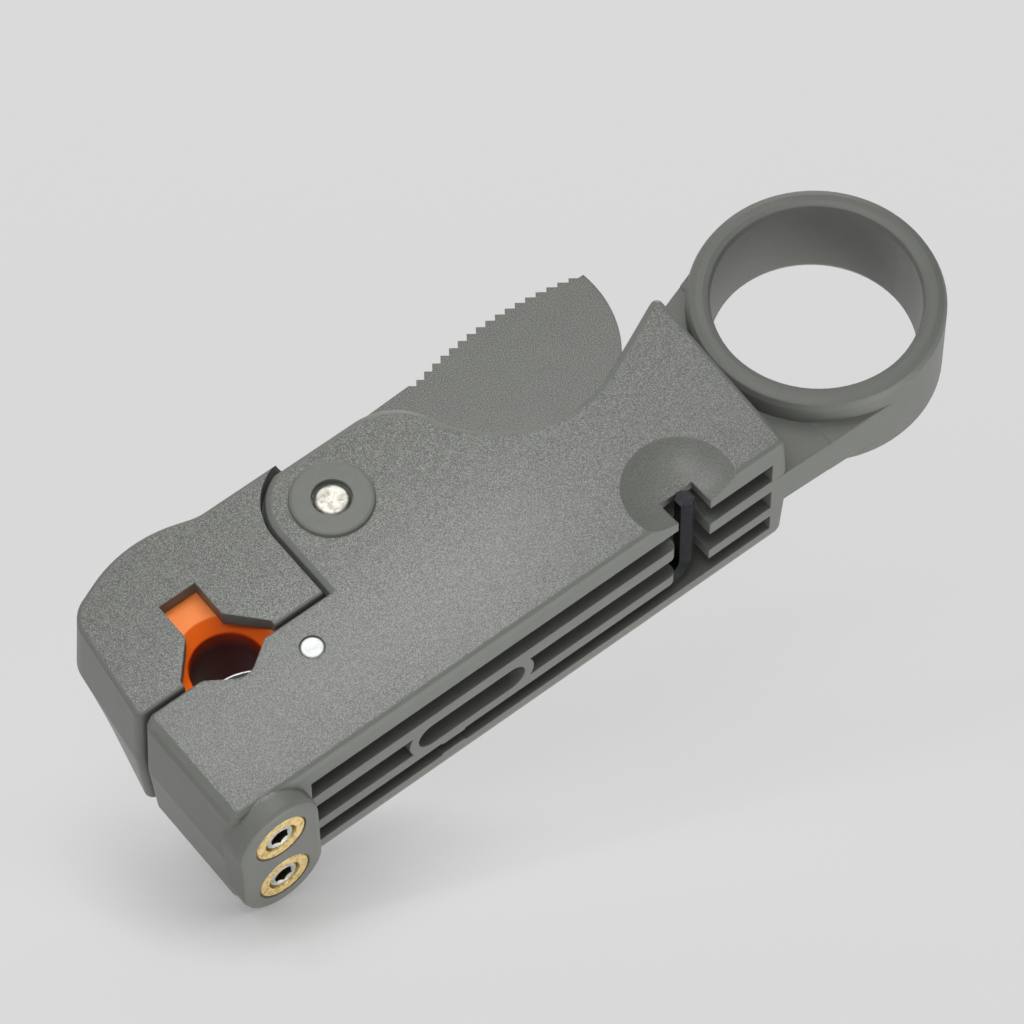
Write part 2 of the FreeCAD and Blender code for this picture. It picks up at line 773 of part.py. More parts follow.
def screw_insert(level):
    insert = round_bar(Vector(screw_x, insert_outer_y, level), Y_AXIS, insert_radius, insert_length)
    insert = insert.cut(round_bar(Vector(screw_x, insert_outer_y, level), Y_AXIS,
                                  screw_radius + running_gap, insert_length))
    mouth = [edge for edge in insert.Edges if abs(edge.BoundBox.YMax - insert_outer_y) < 1e-3
             and edge.BoundBox.XLength > insert_radius + screw_radius]
    return insert.makeChamfer(insert_bevel, mouth)


def hexagon(center, width, first, second):
    """Regular hexagon with its flats square to the direction second."""
    corner = width / math.sqrt(3)
    points = []
    for index in range(7):
        angle = math.radians(60 * index)
        points.append(center + first * (corner * math.cos(angle))
                      + second * (corner * math.sin(angle)))
    return Part.makePolygon(points)


def set_screw(level):
    length = screw_tip_y - screw_outer_y
    screw = turned(Vector(screw_x, screw_outer_y, level), Y_AXIS, [
        (0, 0), (screw_radius - screw_end_bevel, 0), (screw_radius, screw_end_bevel),
        (screw_radius, length - screw_tip_length), (screw_tip_radius, length), (0, length)])
    socket = Part.Face(hexagon(Vector(screw_x, screw_outer_y - 1.0, level), socket_width, X_AXIS,
                               Z_AXIS))
    return screw.cut(socket.extrude(Vector(0, socket_depth + 1.0, 0)))


def flat_face(points):
    return Part.Face(Part.makePolygon(points + points[:1]))


def lever_spring():
    """Coil drawn as short straight lengths of square wire with flat sides."""
    radius = spring_wire / 2
    low_y = pocket_floor_y + spring_seat_gap + radius
    height = lever_under_y - spring_seat_gap - radius - low_y
    steps = round(spring_turns * spring_turn_steps)
    sections = []
    for step in range(steps + 1):
        angle = 2 * math.pi * step / spring_turn_steps
        level = low_y + height * step / steps
        points = []
        for out, up in ((-1, -1), (1, -1), (1, 1), (-1, 1)):
            reach = spring_radius + out * radius
            points.append(Vector(spring_x + reach * math.cos(angle), level + up * radius,
                                 mid_z - reach * math.sin(angle)))
        sections.append(points)
    faces = [flat_face(sections[0]), flat_face(sections[-1])]
    for start, end in zip(sections, sections[1:]):
        for index in range(4):
            following = (index + 1) % 4
            faces.append(flat_face([start[index], start[following], end[following]]))
            faces.append(flat_face([start[index], end[following], end[index]]))
    return Part.makeSolid(Part.makeShell(faces)).removeSplitter()


def hex_key():
    """L-shaped key: long leg in the lowest channel, short leg standing up to the scoop."""
    tip = Vector(key_x + key_width / 2 - key_long_leg, key_y, key_z)
    bend_start = Vector(key_x - key_bend_radius, key_y, key_z)
    bend_end = Vector(key_x, key_y, key_z + key_bend_radius)
    inner = key_bend_radius * math.sqrt(0.5)
    bend_middle = Vector(bend_start.x + inner, key_y, bend_end.z - inner)
    top = Vector(key_x, key_y, key_end_z)
    path = Part.Wire([Part.makeLine(tip, bend_start),
                      Part.Arc(bend_start, bend_middle, bend_end).toShape(),
                      Part.makeLine(bend_end, top)])
    section = hexagon(tip, key_width, Y_AXIS, Z_AXIS)
    return path.makePipeShell([section], True, False)


def all_pieces():
    pieces = {
        "main_body": main_body(),
        "clamp_jaw": clamp_jaw(),
        "cable_block": cable_block(),
        "pivot_pin": pivot_pin(),
        "blade_dowel": blade_dowel(),
        "lever_spring": lever_spring(),
        "hex_key": hex_key(),
    }
    for name, level in blade_levels.items():
        pieces[name + "_blade"] = blade(level)
        pieces[name + "_screw_insert"] = screw_insert(level)
        pieces[name + "_set_screw"] = set_screw(level)
    return pieces


def tool_origin(pieces):
    """Point on the back face under the middle of the whole tool."""
    bounds = Part.makeCompound(list(pieces.values())).optimalBoundingBox(False, False)
    return Vector(bounds.Center.x, bounds.Center.y, bounds.ZMin)


pieces = all_pieces()
origin = tool_origin(pieces)
os.makedirs("parts", exist_ok=True)
for name, shape in pieces.items():
    shape.translate(-origin)
    shape.exportStep("parts/" + name + ".step")
    print(name, len(shape.Solids), shape.isValid(), round(shape.Volume, 1))
print("origin", [round(value, 4) for value in origin])
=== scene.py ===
# %% [markdown]
# # Cable jacket stripper
# A two-blade rotary stripper for coaxial cable. The CAD solids have their shapes and places, so
# this lesson gives them their finishes and adds fine pieces that the solids leave out: two set
# screws with real threads, a thin honed lip on each blade and a coil spring of round wire.
# Everything is in metres in the CAD frame: +X runs from the nose to the finger ring, +Y from the
# ribbed side to the thumb lever, +Z out of the front face.

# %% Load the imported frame
import math
import bmesh
import bpy
from mathutils import Matrix, Vector


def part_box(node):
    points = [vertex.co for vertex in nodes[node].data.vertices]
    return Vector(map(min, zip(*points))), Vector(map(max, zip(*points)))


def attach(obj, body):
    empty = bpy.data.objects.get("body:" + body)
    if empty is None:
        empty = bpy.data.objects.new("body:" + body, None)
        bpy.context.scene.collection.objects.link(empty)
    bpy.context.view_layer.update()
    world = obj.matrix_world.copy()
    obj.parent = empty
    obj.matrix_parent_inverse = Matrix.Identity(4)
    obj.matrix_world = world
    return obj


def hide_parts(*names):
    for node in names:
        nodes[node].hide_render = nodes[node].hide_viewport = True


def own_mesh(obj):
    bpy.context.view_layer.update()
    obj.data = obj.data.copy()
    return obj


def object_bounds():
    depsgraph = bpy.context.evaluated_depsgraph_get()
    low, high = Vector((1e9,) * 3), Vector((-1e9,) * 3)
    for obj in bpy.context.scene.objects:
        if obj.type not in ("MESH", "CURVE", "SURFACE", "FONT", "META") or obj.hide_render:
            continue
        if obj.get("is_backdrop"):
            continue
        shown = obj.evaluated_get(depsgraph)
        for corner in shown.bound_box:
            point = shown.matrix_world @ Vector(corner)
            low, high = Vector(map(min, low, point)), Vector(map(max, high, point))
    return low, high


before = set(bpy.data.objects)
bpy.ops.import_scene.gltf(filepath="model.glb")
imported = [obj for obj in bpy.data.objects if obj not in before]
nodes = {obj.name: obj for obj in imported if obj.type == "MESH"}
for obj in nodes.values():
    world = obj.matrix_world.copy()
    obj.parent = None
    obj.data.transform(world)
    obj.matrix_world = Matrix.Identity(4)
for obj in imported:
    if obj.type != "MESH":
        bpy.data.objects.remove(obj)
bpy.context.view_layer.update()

MM = 0.001

# %% [markdown]
# ## Colours and nodes
# Colours are read as sRGB hex values, but shaders calculate in linear light, so one
# function converts them. A second small function adds a shader node, sets its values and links
# its inputs, which keeps each material below readable from top to bottom. Pattern scales come
# from a real size in millimetres: a texture's scale is the number of its cells in one metre.

# %% Helpers for materials
def linear(hex_colour):
    """sRGB hex value such as '#6f716e' as a linear RGBA colour."""
    channels = []
    for start in (1, 3, 5):
        value = int(hex_colour[start:start + 2], 16) / 255
        channels.append(value / 12.92 if value <= 0.04045 else ((value + 0.055) / 1.055) ** 2.4)
    return (*channels, 1.0)


def cells(size_mm):
    """Texture scale at which one cell of the pattern is size_mm wide."""
    return 1 / (size_mm * MM)


def add(tree, kind, settings=None, links=None):
    """Add one node; settings are its own attributes or unlinked sockets, links feed its sockets."""
    node = tree.nodes.new("ShaderNode" + kind)
    for key, value in (settings or {}).items():
        if isinstance(key, str) and hasattr(node, key):
            setattr(node, key, value)
        else:
            node.inputs[key].default_value = value
    for key, source in (links or {}).items():
        tree.links.new(source, node.inputs[key])
    return node


def new_material(name):
    """Empty node material and the output node that its shader goes to."""
    material = bpy.data.materials.new(name)
    material.use_nodes = True
    material.node_tree.nodes.clear()
    return material, material.node_tree, add(material.node_tree, "OutputMaterial")


ABS_GREY = "#6c6e69"
print("grey of the moulding in linear light:", [round(c, 3) for c in linear(ABS_GREY)[:3]])

# %% [markdown]
# ## Grey ABS, moulded in a spark-eroded tool
# Body and jaw look like injection-moulded ABS. A spark-eroded mould leaves a fine matt grain on
# the broad faces, while the ribbed side, the walls and the ring are smoother. The grain could be
# a displacement, but at 0.12 mm it is only a sparkle, so one fine noise drives a faint bump, the
# shade and the gloss. A face is grained where it looks along Z and lies between the lever's face
# and the front face, or at the back, and the thumb scoop has half the grain. A coarser noise
# mottles the colour a little. Edges get a soft round from the Bevel node, and a thin paler line
# along them is a painted highlight.

# %% Grey ABS
ABS_EDGE_HIGHLIGHT = "#9a9b93"
GRAIN_MM = 0.12
GRAIN_DEPTH_MM = 0.015
MOTTLE_MM = 2.4
LEVER_FACE_MM = 16.0
FRONT_FACE_MM = 19.05
BACK_FACE_MM = 0.05
BOSS_EDGE_MM = -16.2
SCOOP_PLACE_MM = (9.85, -13.47, 17.8)
SCOOP_REACH_MM = 6.7
EDGE_ROUND_MM = 0.28
EDGE_HIGHLIGHT_MM = 0.16
SMOOTH_GRAIN = 0.12
SMOOTH_GLOSS = 0.5
GLINT = 0.3


def moulded_abs(name, colour, highlight_colour, grain_depth_mm):
    """Plastic with grain on its broad faces, smoother walls and a painted highlight on the edges."""
    material, tree, output = new_material(name)

    def ramp(value, start, end, low=0.0, high=1.0):
        return add(tree, "MapRange", {"From Min": start, "From Max": end, "To Min": low,
                                      "To Max": high}, {"Value": value}).outputs["Result"]

    def combine(operation, first, second):
        return add(tree, "Math", {"operation": operation}, {0: first, 1: second}).outputs[0]

    place = add(tree, "TexCoord").outputs["Object"]
    face = add(tree, "NewGeometry").outputs["Normal"]
    upright = add(tree, "SeparateXYZ", links={"Vector": face}).outputs["Z"]
    across, height = add(tree, "SeparateXYZ", links={"Vector": place}).outputs[1:3]
    level = ramp(add(tree, "Math", {"operation": "ABSOLUTE"}, {0: upright}).outputs[0], 0.94, 0.99)
    front = combine("MULTIPLY", ramp(height, (LEVER_FACE_MM - 0.1) * MM, LEVER_FACE_MM * MM),
                    ramp(height, (FRONT_FACE_MM + 0.1) * MM, FRONT_FACE_MM * MM))
    back = ramp(height, (BACK_FACE_MM + 0.05) * MM, BACK_FACE_MM * MM)
    off_boss = ramp(across, BOSS_EDGE_MM * MM, (BOSS_EDGE_MM + 0.3) * MM)
    flat = combine("MULTIPLY", combine("MULTIPLY", level, off_boss), combine("MAXIMUM", front, back))
    scoop_place = [part * MM for part in SCOOP_PLACE_MM]
    from_scoop = add(tree, "VectorMath", {"operation": "DISTANCE", 1: scoop_place}, {0: place})
    scoop = ramp(from_scoop.outputs["Value"], SCOOP_REACH_MM * MM, (SCOOP_REACH_MM - 0.2) * MM)
    hollow = combine("MULTIPLY", scoop, ramp(upright, 0.3, 0.5, 0.0, 0.5))
    textured = ramp(combine("MAXIMUM", flat, hollow), 0.0, 1.0, SMOOTH_GRAIN)
    grain = add(tree, "TexNoise", {"Scale": cells(GRAIN_MM), "Detail": 1.0, "Roughness": 0.5},
                {"Vector": place}).outputs["Fac"]
    mottle = add(tree, "TexNoise", {"Scale": cells(MOTTLE_MM), "Detail": 3.0}, {"Vector": place})
    rounded = add(tree, "Bevel", {"samples": 6, "Radius": EDGE_ROUND_MM * MM}).outputs["Normal"]
    highlight_bevel = add(tree, "Bevel", {"samples": 4, "Radius": EDGE_HIGHLIGHT_MM * MM}).outputs["Normal"]
    turn = add(tree, "VectorMath", {"operation": "DOT_PRODUCT"}, {0: highlight_bevel, 1: face})
    # The rounded edges get a paler colour: a painted highlight.
    painted_edge_highlight = ramp(turn.outputs["Value"], 0.995, 0.80, 0.0, 0.60)
    speck = ramp(grain, 0.28, 0.72, 0.48, 1.52)
    faint = add(tree, "Mix", {"data_type": "FLOAT", "A": 1.0},
                {"Factor": textured, "B": speck}).outputs["Result"]
    shade = combine("MULTIPLY", faint, ramp(mottle.outputs["Fac"], 0.3, 0.7, 0.97, 1.03))
    tinted = add(tree, "Mix", {"data_type": "RGBA", "A": linear(colour), "B": linear(highlight_colour)},
                 {"Factor": painted_edge_highlight}).outputs[2]
    coloured = add(tree, "VectorMath", {"operation": "SCALE"},
                   {0: tinted, "Scale": shade}).outputs["Vector"]
    gloss = add(tree, "Mix", {"data_type": "FLOAT", "A": SMOOTH_GLOSS},
                {"Factor": textured, "B": ramp(grain, 0.3, 0.7, 0.18, 0.32)}).outputs["Result"]
    glint = add(tree, "Math", {"operation": "MULTIPLY", 1: GLINT}, {0: faint}).outputs[0]
    bump = add(tree, "Bump", {"Distance": grain_depth_mm * MM},
               {"Strength": textured, "Height": grain, "Normal": rounded}).outputs["Normal"]
    shader = add(tree, "BsdfPrincipled", {"IOR": 1.53},
                 {"Base Color": coloured, "Roughness": gloss, "Specular IOR Level": glint,
                  "Normal": bump})
    tree.links.new(shader.outputs["BSDF"], output.inputs["Surface"])
    return material


grey_abs = moulded_abs("moulded_grey_abs", ABS_GREY, ABS_EDGE_HIGHLIGHT, GRAIN_DEPTH_MM)
print("grain cells across the front face's height:", round(FRONT_FACE_MM / GRAIN_MM))

# %% [markdown]
# ## Orange acetal
# The cable block looks like acetal, a slippery and slightly see-through plastic that slides on
# the cable's jacket. Light enters it a little and comes out warmer, so its edges glow. A small
# share of subsurface scattering gives that. Its surface is satin with a fine flow pattern. The
# groove is painted darker the deeper it goes and reflects less, a painted shade, and its lead is
# painted a deeper orange than the flat, a painted glow for the little light its slope gets.

# %% Orange acetal
FLOW_MM = 1.1
GROOVE_AXIS_MM = (-40.5, 0.7255, 0)
LEAD_EDGE_MM = (5.9, 5.6)
GROOVE_EDGE_MM = (4.42, 4.28)
LEAD_MM = 15.4
GROOVE_SHADE_MM = 2.6
ACETAL_ROUND_MM = 0.25
FLOW_DEPTH_MM = 0.02
GLOW_REACH_MM = 0.8
orange_acetal, tree, output = new_material("moulded_orange_acetal")


def within(distance, edge_mm):
    """1 nearer than the second of two distances, 0 beyond the first, and a ramp between them."""
    return add(tree, "MapRange", {"From Min": edge_mm[0] * MM, "From Max": edge_mm[1] * MM},
               {"Value": distance}).outputs["Result"]


place = add(tree, "TexCoord").outputs["Object"]
flow = add(tree, "TexNoise", {"Scale": cells(FLOW_MM), "Detail": 3.0, "Distortion": 0.6},
           {"Vector": place}).outputs["Fac"]
block_orange = add(tree, "Mix", {"data_type": "RGBA", "A": linear("#fa8438"), "B": linear("#ff9348")},
            {"Factor": flow}).outputs[2]
flat_place = add(tree, "VectorMath", {"operation": "MULTIPLY", 1: (1, 1, 0)},
                 {0: place}).outputs["Vector"]
axis = [part * MM for part in GROOVE_AXIS_MM]
from_axis = add(tree, "VectorMath", {"operation": "DISTANCE", 1: axis},
                {0: flat_place}).outputs["Value"]
in_lead = within(from_axis, LEAD_EDGE_MM)
in_groove = within(from_axis, GROOVE_EDGE_MM)
height = add(tree, "SeparateXYZ", links={"Vector": place}).outputs["Z"]
# The groove is painted darker the deeper it goes, and reflects less: a painted shade.
depth = within(height, (LEAD_MM, LEAD_MM - GROOVE_SHADE_MM))
painted_groove_shade = add(tree, "Mix", {"data_type": "RGBA", "A": linear("#d8460c"), "B": linear("#6a1c06")},
             {"Factor": depth}).outputs[2]
# The lead is painted a deeper orange than the flat: a painted glow on its slope.
painted_lead_glow = add(tree, "Mix", {"data_type": "RGBA", "B": linear("#ff6c12")},
             {"Factor": in_lead, "A": block_orange}).outputs[2]
tinted = add(tree, "Mix", {"data_type": "RGBA"},
             {"Factor": in_groove, "A": painted_lead_glow, "B": painted_groove_shade}).outputs[2]
gloss = add(tree, "MapRange", {"To Min": 0.42, "To Max": 0.56}, {"Value": flow}).outputs["Result"]
glint = add(tree, "MapRange", {"To Min": 0.35, "To Max": 0.08},
            {"Value": in_groove}).outputs["Result"]
rounded = add(tree, "Bevel", {"samples": 6, "Radius": ACETAL_ROUND_MM * MM}).outputs["Normal"]
bump = add(tree, "Bump", {"Distance": FLOW_DEPTH_MM * MM}, {"Height": flow, "Normal": rounded})
shader = add(tree, "BsdfPrincipled",
             {"IOR": 1.48, "Subsurface Weight": 0.1, "Subsurface Scale": GLOW_REACH_MM * MM,
              "Subsurface Radius": (1.0, 0.35, 0.12)},
             {"Base Color": tinted, "Roughness": gloss, "Specular IOR Level": glint,
              "Normal": bump.outputs["Normal"]})
tree.links.new(shader.outputs["BSDF"], output.inputs["Surface"])
print("orange acetal made, nodes:", len(tree.nodes))

# %% [markdown]
# ## Metals
# The pivot pin's end looks peened, so its face is bright but dented. The dowel shows a turned end,
# the spring is drawn steel with fine lines, the set screws look zinc-plated with their sockets
# painted dark, a painted shade, the inserts are turned brass that has been handled, and key and
# blades are black-oxidised. All share one recipe: a noise that is stretched along the tool marks
# gives the lines, and a coarser noise gives stains and dents. The base colour of a metal is the
# colour of its reflection.

# %% One recipe for the metals
MARK_DEPTH_MM = 0.004
EVEN = (1.0, 1.0, 1.0)


def worked_metal(name, bright, dull, marks_mm, stretch, dents_mm, dent_depth_mm, gloss, stain,
                 round_mm=0.12):
    """Metal with tool marks marks_mm apart, drawn out by stretch, and dents dents_mm wide."""
    material, tree, output = new_material(name)
    place = add(tree, "TexCoord").outputs["Object"]
    drawn = add(tree, "Mapping", {"Scale": stretch}, {"Vector": place}).outputs["Vector"]
    lines = add(tree, "TexNoise", {"Scale": cells(marks_mm), "Detail": 3.0},
                {"Vector": drawn}).outputs["Fac"]
    dents = add(tree, "TexNoise", {"Scale": cells(dents_mm), "Detail": 2.0, "Distortion": 0.8},
                {"Vector": place}).outputs["Fac"]
    patch = add(tree, "MapRange", {"From Min": 0.45, "From Max": 0.72, "To Max": stain},
                {"Value": dents}).outputs["Result"]
    tinted = add(tree, "Mix", {"data_type": "RGBA", "A": linear(bright), "B": linear(dull)},
                 {"Factor": patch}).outputs[2]
    rough = add(tree, "MapRange", {"From Min": 0.3, "From Max": 0.7, "To Min": gloss[0],
                                   "To Max": gloss[1]}, {"Value": lines}).outputs["Result"]
    rounded = add(tree, "Bevel", {"samples": 4, "Radius": round_mm * MM}).outputs["Normal"]
    dented = add(tree, "Bump", {"Distance": dent_depth_mm * MM},
                 {"Height": dents, "Normal": rounded})
    marked = add(tree, "Bump", {"Distance": MARK_DEPTH_MM * MM},
                 {"Height": lines, "Normal": dented.outputs["Normal"]})
    shader = add(tree, "BsdfPrincipled", {"Metallic": 1.0},
                 {"Base Color": tinted, "Roughness": rough, "Normal": marked.outputs["Normal"]})
    tree.links.new(shader.outputs["BSDF"], output.inputs["Surface"])
    return material


peened_steel = worked_metal("peened_bright_steel", "#b3b1a8", "#77746a", 0.25, EVEN, 0.9, 0.08,
                            (0.42, 0.58), 0.9, round_mm=0.45)
ground_steel = worked_metal("ground_steel", "#a9abab", "#858787", 0.12, (0.06, 1.0, 1.0), 1.6,
                            0.006, (0.34, 0.46), 0.35)
turned_steel = worked_metal("turned_steel_end", "#b4b6b6", "#9a9c9c", 0.2, EVEN, 0.7, 0.02,
                            (0.50, 0.62), 0.6, round_mm=0.3)
zinc_plate = worked_metal("zinc_plated_steel", "#e6e6e2", "#9a9992", 0.2, EVEN, 0.5, 0.012,
                          (0.14, 0.30), 0.5)
turned_brass = worked_metal("turned_brass", "#efd597", "#9a7b40", 0.15, (1.0, 0.1, 1.0), 0.45,
                            0.03, (0.30, 0.50), 0.8)
black_oxide = worked_metal("black_oxide_steel", "#2b2c2e", "#1e1f21", 0.2, (0.08, 1.0, 1.0), 0.9,
                           0.008, (0.34, 0.50), 0.6)
# Dark steel for the inside of the screw sockets: a painted shade.
socket_shade_steel = worked_metal("shaded_socket_steel", "#4a3c2e", "#241c14", 0.2, EVEN, 0.4, 0.02,
                           (0.5, 0.7), 0.8)
metals = (peened_steel, ground_steel, turned_steel, zinc_plate, turned_brass, black_oxide,
          socket_shade_steel)
print("metals made:", [metal.name for metal in metals])

# %% [markdown]
# ## Dressing the CAD solids
# A CAD solid whose shape stays only gets its material, so its first material slot is filled anew.
# The set screws and the spring need more than a finish and are replaced further on.

# %% Give each solid its finish
finishes = {
    "main_body": grey_abs,
    "clamp_jaw": grey_abs,
    "cable_block": orange_acetal,
    "pivot_pin": peened_steel,
    "blade_dowel": turned_steel,
    "lower_blade": black_oxide,
    "upper_blade": black_oxide,
    "lower_screw_insert": turned_brass,
    "upper_screw_insert": turned_brass,
    "lower_set_screw": zinc_plate,
    "upper_set_screw": zinc_plate,
    "lever_spring": ground_steel,
    "hex_key": black_oxide,
}
for name, finish in finishes.items():
    mesh = nodes[name].data
    mesh.materials.clear()
    mesh.materials.append(finish)
print("solids dressed:", len(finishes))

# %% [markdown]
# ## Set screws with a thread
# Each blade is set by an M4 socket screw with a cone point, turned by a 2 mm key. The solid is
# plain, because a thread belongs to the looks. A thread could be cut with a modifier, but it is
# simpler to write its radius down: going round once, the crest climbs by one pitch. Rings of
# points along the screw take that radius, and the socket is one more run of rings whose radius
# is that of a hexagon.

# %% Helpers for meshes
def ring_mesh(name, rings, close_ends):
    """Mesh from rings of points with quads between them, ends closed by a fan where asked."""
    mesh_maker = bmesh.new()
    loops = [[mesh_maker.verts.new(point) for point in ring] for ring in rings]
    count = len(loops[0])
    for low, high in zip(loops, loops[1:]):
        for index in range(count):
            following = (index + 1) % count
            mesh_maker.faces.new((low[index], low[following], high[following], high[index]))
    for loop, wanted in ((loops[0], close_ends[0]), (loops[-1], close_ends[1])):
        if wanted:
            middle = mesh_maker.verts.new(sum((v.co for v in loop), Vector()) / count)
            for index in range(count):
                mesh_maker.faces.new((loop[index], loop[(index + 1) % count], middle))
    bmesh.ops.recalc_face_normals(mesh_maker, faces=mesh_maker.faces)
    mesh = bpy.data.meshes.new(name)
    mesh_maker.to_mesh(mesh)
    mesh_maker.free()
    piece = bpy.data.objects.new(name, mesh)
    bpy.context.scene.collection.objects.link(piece)
    return piece


def smooth_below(piece, degrees):
    """Shade smooth, with edges sharper than degrees kept crisp."""
    for polygon in piece.data.polygons:
        polygon.use_smooth = True
    piece.data.set_sharp_from_angle(angle=math.radians(degrees))


print("mesh helpers ready")

# %% Threaded set screws
SCREW_PITCH = 0.7 * MM
THREAD_DEPTH = 0.38 * MM
CREST_STEEPNESS = 2.6
SOCKET_WIDTH = 2.05 * MM
SOCKET_DEPTH = 2.2 * MM
SOCKET_MOUTH = 1.28 * MM
SOCKET_CONE = 0.3 * MM
SOCKET_CONE_SHARE = 0.35
SOCKET_LEAD_SLOPE = 0.8
SOCKET_SHADE_START = 0.15 * MM
SOCKET_SHADE_END = SOCKET_DEPTH + 0.4 * MM
SOCKET_SHADE_REACH = 0.6 * SOCKET_WIDTH
END_BEVEL = 0.4 * MM
POINT_LENGTH = 1.3 * MM
POINT_RADIUS = 0.5 * MM
SCREW_SIDES = 36
RINGS_PER_PITCH = 8


def screw_radius_at(along, turn, length, outer):
    """Radius of the threaded shank at a distance along it and a share of a full turn."""
    phase = (along / SCREW_PITCH - turn) % 1.0
    crest = min(1.0, CREST_STEEPNESS * min(phase, 1 - phase))
    radius = outer - THREAD_DEPTH * (1 - crest)
    from_point = POINT_RADIUS + (length - along) / POINT_LENGTH * (outer - POINT_RADIUS)
    from_end = outer - END_BEVEL + along
    return min(radius, from_point, from_end)


def hexagon_radius(turn):
    """Distance from the middle to a hexagon's side, in the direction of a share of a turn."""
    off_flat = (turn * 360 + 30) % 60 - 30
    return SOCKET_WIDTH / 2 / math.cos(math.radians(off_flat))


def threaded_screw(name, node, body):
    """Screw in the box of a CAD node, with its socket at the low end of Y and its point at the high."""
    low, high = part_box(node)
    middle = (low + high) / 2
    length = high.y - low.y
    outer = (high.x - low.x) / 2
    turns = [index / SCREW_SIDES for index in range(SCREW_SIDES)]

    def ring(along, radii):
        points = []
        for turn, radius in zip(turns, radii):
            angle = 2 * math.pi * turn
            points.append(Vector((middle.x + radius * math.cos(angle), low.y + along,
                                  middle.z + radius * math.sin(angle))))
        return points

    hexagon = [hexagon_radius(turn) for turn in turns]
    bottom = [SOCKET_CONE_SHARE * radius for radius in hexagon]
    lead = [(SOCKET_MOUTH - radius) * SOCKET_LEAD_SLOPE for radius in hexagon]
    rings = [ring(SOCKET_DEPTH + SOCKET_CONE, bottom), ring(SOCKET_DEPTH, hexagon)]
    funnel = ring(0, hexagon)
    for point, drop in zip(funnel, lead):
        point.y += drop
    rings += [funnel, ring(0, [SOCKET_MOUTH] * SCREW_SIDES)]
    steps = round(length / SCREW_PITCH * RINGS_PER_PITCH)
    for step in range(steps + 1):
        along = length * step / steps
        rings.append(ring(along, [screw_radius_at(along, turn, length, outer) for turn in turns]))
    piece = ring_mesh(name, rings, (True, True))
    piece.data.materials.append(zinc_plate)
    piece.data.materials.append(socket_shade_steel)
    # The inside of the socket gets the dark steel: a painted shade in the hollow.
    for polygon in piece.data.polygons:
        off_axis = math.hypot(polygon.center.x - middle.x, polygon.center.z - middle.z)
        if off_axis < SOCKET_SHADE_REACH and SOCKET_SHADE_START < polygon.center.y - low.y < SOCKET_SHADE_END:
            polygon.material_index = 1
    smooth_below(piece, 40)
    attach(piece, body)
    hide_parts(node)
    return piece


for side in ("lower", "upper"):
    screw = threaded_screw(side + "_threaded_screw", side + "_set_screw", side + "_screw")
    print(screw.name, "faces:", len(screw.data.polygons))

# %% [markdown]
# ## Honed lips of the blades
# In the photograph a thin bright arc of a blade's edge shows in the cable hole. The edge of the
# blade solid lies 1.7 mm lower, hidden behind the notch's front wall, so a lip is added here that
# reaches up to that arc: a band 0.16 mm thick, flush with the outer side of the blued plate, with
# a bright honed strip at its edge.

# %% Blade lips
LIP_CENTRE_MM = (-41.85, -6.07)
LIP_RADIUS_MM = 6.6
LIP_ROOT_MM = 4.3
LIP_THICK_MM = 0.16
LIP_INSET_MM = 0.01
HONED_MM = 0.16
LIP_TURN = (-22, 42)
LIP_STEPS = 32
LIP_CORNERS = 5
HONED_SIDES = (2, 3)


def blade_lip(name, body, outer_z, inwards):
    """Thin band that rises from a blade; outer_z is its outer side, inwards the way to the inner."""
    rings = []
    for step in range(LIP_STEPS + 1):
        turn = math.radians(LIP_TURN[0] + (LIP_TURN[1] - LIP_TURN[0]) * step / LIP_STEPS)
        inner_z = outer_z + inwards * LIP_THICK_MM * MM
        section = [(LIP_ROOT_MM, inner_z), (LIP_ROOT_MM, outer_z),
                   (LIP_RADIUS_MM - HONED_MM, outer_z), (LIP_RADIUS_MM, outer_z),
                   (LIP_RADIUS_MM, inner_z)]
        rings.append([Vector(((LIP_CENTRE_MM[0] + reach * math.sin(turn)) * MM,
                              (LIP_CENTRE_MM[1] + reach * math.cos(turn)) * MM, level))
                      for reach, level in section])
    piece = ring_mesh(name, rings, (True, True))
    piece.data.materials.append(black_oxide)
    piece.data.materials.append(ground_steel)
    for polygon in piece.data.polygons:
        on_band = polygon.index < LIP_STEPS * LIP_CORNERS
        if on_band and polygon.index % LIP_CORNERS in HONED_SIDES:
            polygon.material_index = 1
    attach(piece, body)
    return piece


for side, inwards in (("lower", 1), ("upper", -1)):
    low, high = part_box(side + "_blade")
    outer_z = (low.z if inwards > 0 else high.z) + inwards * LIP_INSET_MM * MM
    lip = blade_lip(side + "_blade_lip", side + "_blade", outer_z, inwards)
    print(lip.name, "faces:", len(lip.data.polygons))

# %% [markdown]
# ## Coil spring of round wire
# The lever is pushed up by a small compression spring that stands on the pocket's floor. It is
# hidden in the photograph, so its size is a guess. Its end turns lie closed so that it stands
# straight. A curve with a bevel could draw it, but a spring has to shorten when the lever is
# pressed, and only a mesh can be squashed along the tool's Y axis, so rings of points are set
# along the helix.

# %% Lever spring
WIRE_MM = 0.8
ACTIVE_TURNS = 4.5
CLOSED_TURNS = 1.0
CLOSED_PITCH = 1.02
STEPS_PER_TURN = 28
WIRE_SIDES = 10

low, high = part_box("lever_spring")
spring_middle = (low + high) / 2
wire_radius = WIRE_MM * MM / 2
coil_radius = (high.x - low.x) / 2 - wire_radius
total_turns = ACTIVE_TURNS + 2 * CLOSED_TURNS
closed_rise = CLOSED_PITCH * WIRE_MM * MM * CLOSED_TURNS
active_rise = high.y - low.y - WIRE_MM * MM - 2 * closed_rise


def spring_height(turn):
    """Height of the wire's middle above the lower end, with closed turns at both ends."""
    if turn < CLOSED_TURNS:
        return closed_rise * turn / CLOSED_TURNS
    if turn < CLOSED_TURNS + ACTIVE_TURNS:
        return closed_rise + active_rise * (turn - CLOSED_TURNS) / ACTIVE_TURNS
    last = (turn - CLOSED_TURNS - ACTIVE_TURNS) / CLOSED_TURNS
    return closed_rise + active_rise + closed_rise * last


